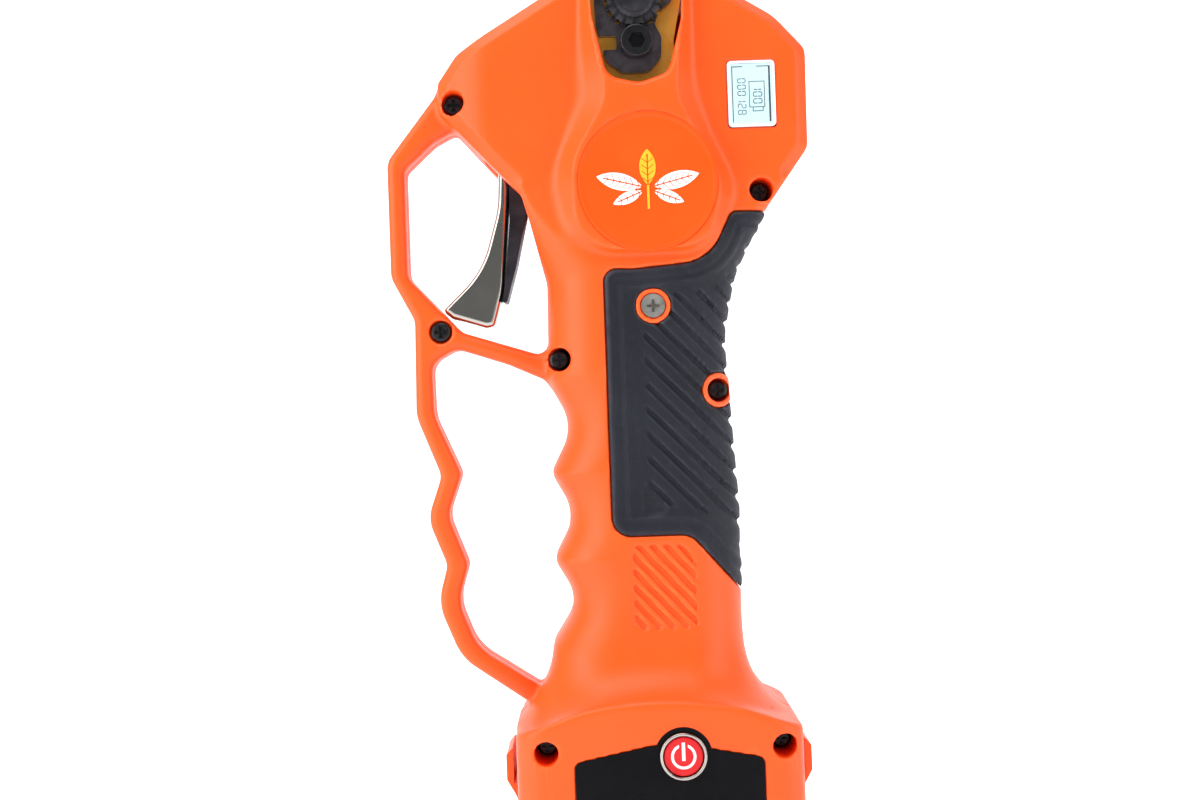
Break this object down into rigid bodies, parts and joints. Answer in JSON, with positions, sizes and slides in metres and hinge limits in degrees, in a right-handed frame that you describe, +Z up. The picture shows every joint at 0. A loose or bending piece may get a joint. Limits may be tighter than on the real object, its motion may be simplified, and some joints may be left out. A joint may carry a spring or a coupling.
{
  "type": "battery electric pruner",
  "caption": "Battery electric pruner: two-shell orange body with knuckle guard, rubber grips, motor, planetary and bevel drive, moving and hook blades, slide-out battery.",
  "frame": {"origin": "centre of the battery cover's flat underside", "axes": "+Z up along the handle and drive axis to the blades, -Y is the front face with display and power button, -X is the trigger side"},
  "size_m": [0.1185, 0.0654, 0.3355],
  "materials": {
    "orange_plastic": "moulded, fine spark-eroded texture",
    "grip_rubber": "moulded rubber",
    "badge_plastic": "satin disc with a printed leaf",
    "blade_steel": "ground blade steel",
    "gold_metal": "yellow passivated",
    "black_steel": "black oxide",
    "bright_steel": "machined",
    "zinc_steel": "zinc plated",
    "bronze": "sintered bronze",
    "chrome_metal": "polished",
    "black_plastic": "moulded",
    "label_film": "satin film",
    "button_red": "gloss with a printed power sign",
    "white_plastic": "gloss",
    "lcd_glass": "clear",
    "lcd_panel": "display",
    "board_green": "solder mask",
    "cell_wrap": "shrink wrap",
    "lead_wire": "insulation",
    "motor_steel": "zinc plated can",
    "copper": "windings"
  },
  "bodies": {
    "housing": {"front_housing": "orange_plastic", "rear_housing": "orange_plastic", "front_grip": "grip_rubber", "rear_grip": "grip_rubber", "front_badge": "badge_plastic", "hook_blade": "blade_steel", "blade_frame": "gold_metal", "toothed_nut": "black_steel", "lock_plate": "black_steel", "lock_screw": "black_steel", "pivot_bolt": "black_steel", "blade_washer": "bright_steel", "shaft_bearings": "bright_steel", "ring_gear": "bright_steel", "gearbox_housing": "zinc_steel", "gearbox_screws": "black_steel", "trigger_pin": "bright_steel", "trigger_spring": "bright_steel", "trigger_sensor": "board_green", "battery_terminals": "black_plastic", "motor_can": "motor_steel", "motor_front_cap": "motor_steel", "motor_rear_cap": "black_plastic", "button_ring": "chrome_metal", "switch_body": "black_plastic", "label_plate": "label_film", "lcd_bezel": "white_plastic", "lcd_window": "lcd_glass", "lcd_module": "lcd_panel", "control_board": "board_green", "board_capacitor": "black_plastic", "leads": "lead_wire", "guard_screws": "black_steel", "housing_screws": "black_steel", "pad_screw": "zinc_steel"},
    "battery": {"battery_case": "black_plastic", "battery_cover": "orange_plastic", "battery_cells": "cell_wrap", "battery_board": "board_green", "battery_screws": "black_steel", "release_spring_left": "bright_steel", "release_spring_right": "bright_steel"},
    "blade": {"moving_blade": "blade_steel", "pivot_bush": "bronze", "bevel_sector": "bright_steel", "sector_screws": "black_steel"},
    "output": {"bevel_pinion": "bright_steel", "output_shaft": "bright_steel", "planet_carrier": "bright_steel"},
    "motor_rotor": {"sun_gear": "bright_steel", "motor_shaft": "bright_steel", "rotor": "copper"},
    "planet_a": {"planet_gear_1": "bright_steel"},
    "planet_b": {"planet_gear_2": "bright_steel"},
    "planet_c": {"planet_gear_3": "bright_steel"},
    "trigger": {"trigger_lever": "chrome_metal", "trigger_backing": "black_plastic"},
    "power_key": {"power_button": "button_red"},
    "release_left": {"release_button_left": "orange_plastic"},
    "release_right": {"release_button_right": "orange_plastic"}
  },
  "joints": [
    {"name": "blade_swing", "type": "hinge", "parent": "housing", "child": "blade", "pos_m": [0, -0.00725, 0.257], "axis": [0, -1, 0], "range_deg": [0, 42]},
    {"name": "output_spin", "type": "hinge", "parent": "housing", "child": "output", "pos_m": [0, 0.003, 0.22], "axis": [0, 0, 1], "range_deg": [-1, 155]},
    {"name": "rotor_spin", "type": "hinge", "parent": "housing", "child": "motor_rotor", "pos_m": [0, 0.003, 0.16], "axis": [0, 0, 1], "range_deg": [-1, 690]},
    {"name": "trigger_pull", "type": "hinge", "parent": "housing", "child": "trigger", "pos_m": [-0.0365, 0, 0.221], "axis": [0, -1, 0], "range_deg": [0, 10], "stiffness_Nm_per_rad": 0.9, "springref_deg": -11.46, "deforming": ["trigger_spring"]},
    {"name": "power_press", "type": "slide", "parent": "housing", "child": "power_key", "axis": [0, 1, 0], "range_m": [0, 0.0008], "stiffness_N_per_m": 1500, "springref_m": -0.0004},
    {"name": "battery_slide", "type": "slide", "parent": "housing", "child": "battery", "axis": [0, 0, -1], "range_m": [0, 0.07]},
    {"name": "release_left_press", "type": "slide", "parent": "battery", "child": "release_left", "axis": [1, 0, 0], "range_m": [0, 0.0012], "stiffness_N_per_m": 900, "springref_m": -0.001, "deforming": ["release_spring_left"]},
    {"name": "release_right_press", "type": "slide", "parent": "battery", "child": "release_right", "axis": [-1, 0, 0], "range_m": [0, 0.0012], "stiffness_N_per_m": 900, "springref_m": -0.001, "deforming": ["release_spring_right"]},
    {"name": "planet_a_spin", "type": "hinge", "parent": "output", "child": "planet_a", "pos_m": [0, 0.0111, 0.196], "axis": [0, 0, 1], "range_deg": [-430, 1]},
    {"name": "planet_b_spin", "type": "hinge", "parent": "output", "child": "planet_b", "pos_m": [-0.00701, -0.00105, 0.196], "axis": [0, 0, 1], "range_deg": [-430, 1]},
    {"name": "planet_c_spin", "type": "hinge", "parent": "output", "child": "planet_c", "pos_m": [0.00701, -0.00105, 0.196], "axis": [0, 0, 1], "range_deg": [-430, 1]}
  ],
  "couplings": [
    {"joint": "output_spin", "follows": "blade_swing", "ratio": 3.6},
    {"joint": "rotor_spin", "follows": "blade_swing", "ratio": 16.2},
    {"joint": "planet_a_spin", "follows": "blade_swing", "ratio": -10.08},
    {"joint": "planet_b_spin", "follows": "blade_swing", "ratio": -10.08},
    {"joint": "planet_c_spin", "follows": "blade_swing", "ratio": -10.08}
  ]
}
